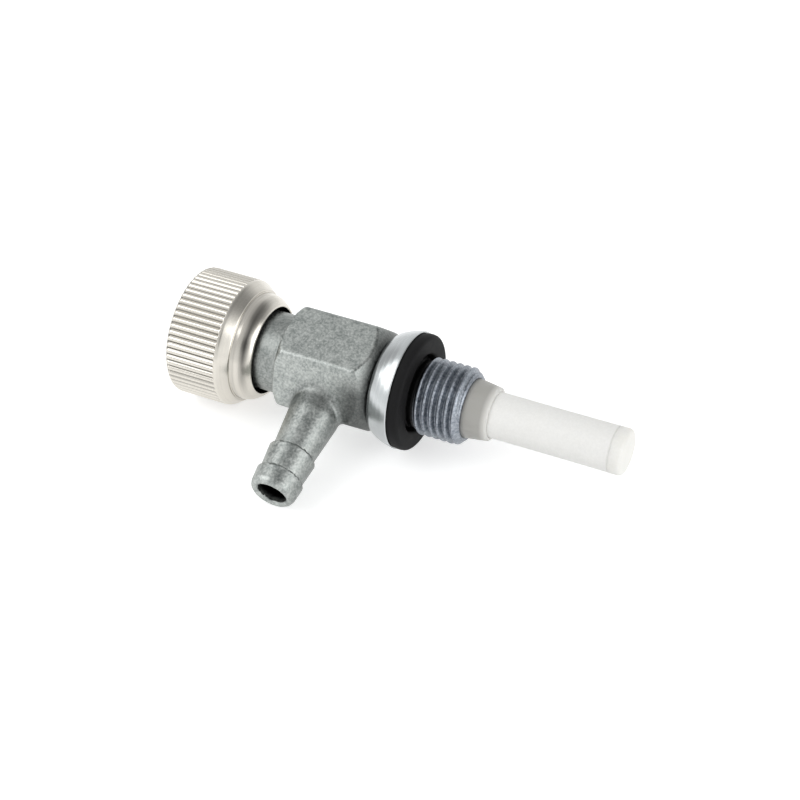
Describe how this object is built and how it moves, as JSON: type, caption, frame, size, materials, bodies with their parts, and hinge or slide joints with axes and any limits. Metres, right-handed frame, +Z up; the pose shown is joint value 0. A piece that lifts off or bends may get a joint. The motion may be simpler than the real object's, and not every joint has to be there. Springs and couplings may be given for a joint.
{
  "type": "fuel tap",
  "caption": "Screw-down fuel tap: knurled knob, hexagonal body with a side hose barb, tank thread with a cup washer and rubber seal, and a tubular strainer.",
  "frame": {"origin": "on the axis of the tank thread, in the face of the rubber washer that seals on the tank", "axes": "+X along the tap's axis towards the tank and strainer; +Z up with the tap lying as it rests, the barb pointing to -Y and a little down"},
  "size_m": [0.0601, 0.0283, 0.0168],
  "materials": {
    "zinc_casting": "as-cast zinc alloy, mottled grey",
    "nickel_plate": "warm bright nickel plate",
    "brass": "machined brass",
    "zinc_plate": "bright zinc-plated steel sheet",
    "rubber": "black nitrile rubber",
    "nylon": "milky natural nylon",
    "gauze": "fine nylon gauze"
  },
  "bodies": {
    "tap": {"tap_body": "zinc_casting", "stop_ring": "brass", "cup_washer": "zinc_plate", "seal_washer": "rubber", "strainer_frame": "nylon", "strainer_gauze": "gauze"},
    "valve": {"valve_foot": "brass", "valve_pad": "rubber"},
    "knob": {"control_knob": "nickel_plate", "valve_spindle": "brass", "spindle_oring": "rubber"}
  },
  "joints": [
    {"name": "valve_lift", "type": "slide", "parent": "tap", "child": "valve", "axis": [-1, 0, 0], "range_m": [0, 0.002]},
    {"name": "knob_turn", "type": "hinge", "parent": "valve", "child": "knob", "pos_m": [0, 0, 0], "axis": [-1, 0, 0], "range_deg": [0, 720]}
  ],
  "couplings": [
    {"joint": "knob_turn", "follows": "valve_lift", "rad_per_m": 6283.2}
  ]
}
